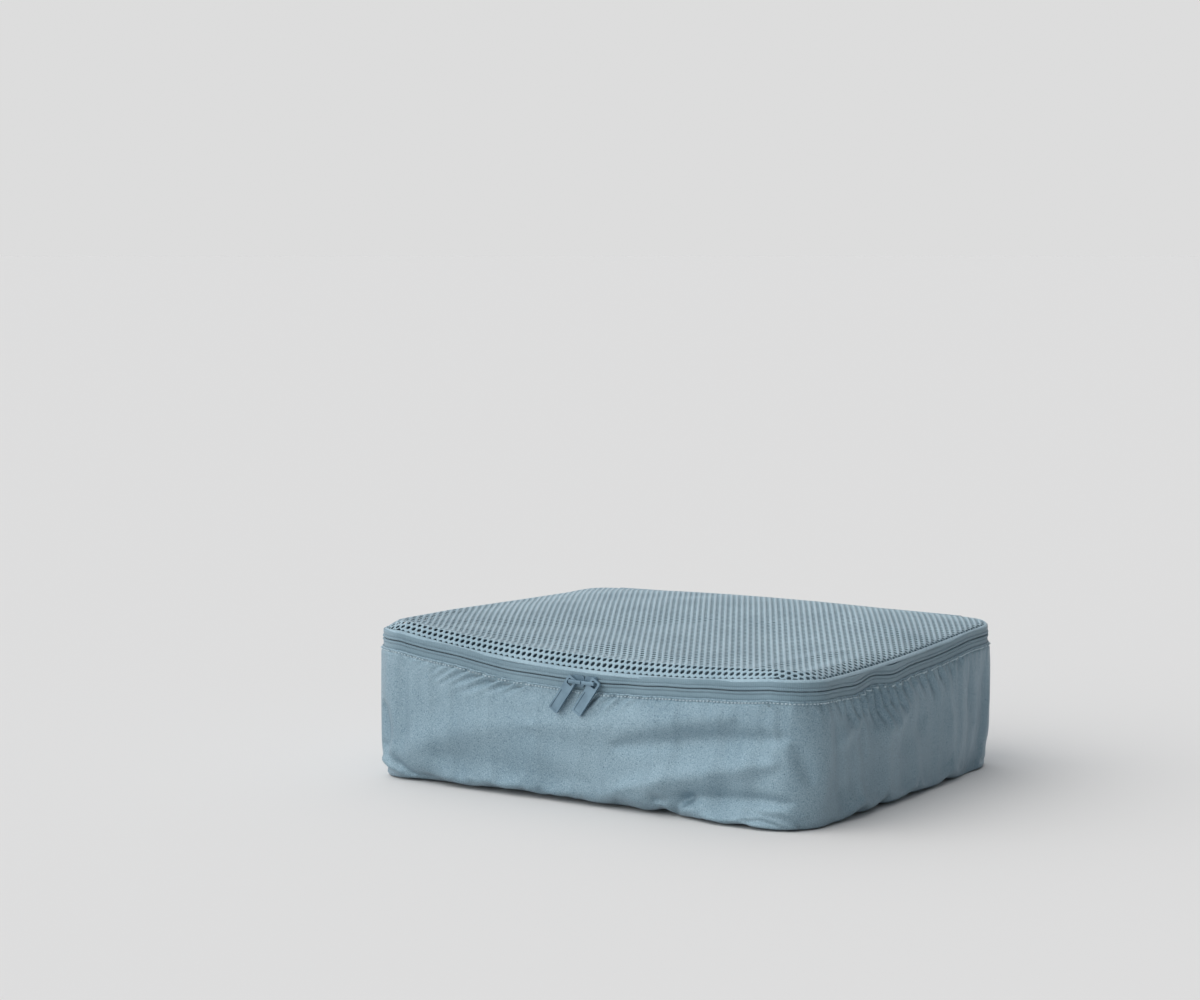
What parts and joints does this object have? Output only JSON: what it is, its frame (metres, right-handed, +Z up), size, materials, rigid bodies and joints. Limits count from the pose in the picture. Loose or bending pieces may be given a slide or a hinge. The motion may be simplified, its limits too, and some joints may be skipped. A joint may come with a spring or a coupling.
{
  "type": "packing cube",
  "caption": "Soft-sided fabric packing cube: satin nylon case whose net lid opens on a zip round the front and sides, with sliders and pull tabs.",
  "frame": {"origin": "on the ground, under the middle of the cube's bounding box", "axes": "+X along the front from left to right, -Y out of the front where the sliders are, +Z up"},
  "size_m": [0.4174, 0.3424, 0.1296],
  "materials": {
    "shell_fabric": "satin woven nylon, light slate blue",
    "lid_net": "knitted polyester net, matt, light slate blue",
    "zip_tape": "woven zip tape, matt, slate blue",
    "zip_coil": "polyester coil, slate blue",
    "binding_tape": "folded binding tape, matt, slate blue",
    "painted_zinc": "die-cast zinc with satin slate-blue paint"
  },
  "bodies": {
    "case": {"base_panel": "shell_fabric", "gusset": "shell_fabric", "back_panel": "shell_fabric", "base_seam_binding": "binding_tape", "hinge_seam_binding": "binding_tape", "rim_seam_binding": "binding_tape", "zip_tape_lower": "zip_tape", "zip_coil_lower": "zip_coil", "zip_end_tab_left": "shell_fabric", "zip_end_tab_right": "shell_fabric"},
    "lid": {"lid_net": "lid_net", "lid_seam_binding": "binding_tape", "zip_tape_upper": "zip_tape", "zip_coil_upper": "zip_coil"},
    "left_slider": {"slider_left": "painted_zinc", "slider_crown_left": "painted_zinc"},
    "right_slider": {"slider_right": "painted_zinc", "slider_crown_right": "painted_zinc"},
    "left_pull_tab": {"pull_tab_left": "painted_zinc"},
    "right_pull_tab": {"pull_tab_right": "painted_zinc"}
  },
  "joints": [
    {"name": "lid_hinge", "type": "hinge", "parent": "case", "child": "lid", "pos_m": [0, 0.1643, 0.1187], "axis": [-1, 0, 0], "range_deg": [0, 180]},
    {"name": "left_slider_run", "type": "hinge", "parent": "case", "child": "left_slider", "pos_m": [0.03, -0.1625, 1.295], "axis": [0, 1, 0], "range_deg": [0, 7.77]},
    {"name": "right_slider_run", "type": "hinge", "parent": "case", "child": "right_slider", "pos_m": [0.03, -0.1625, 1.295], "axis": [0, -1, 0], "range_deg": [0, 6.93]},
    {"name": "left_pull_swing", "type": "hinge", "parent": "left_slider", "child": "left_pull_tab", "pos_m": [-0.0021, -0.16595, 0.09542], "axis": [-0.0032, 0.9903, -0.1391], "range_deg": [0, 58]},
    {"name": "right_pull_swing", "type": "hinge", "parent": "right_slider", "child": "right_pull_tab", "pos_m": [0.0191, -0.16595, 0.09504], "axis": [0.0018, -0.9903, 0.1392], "range_deg": [0, 122]}
  ]
}
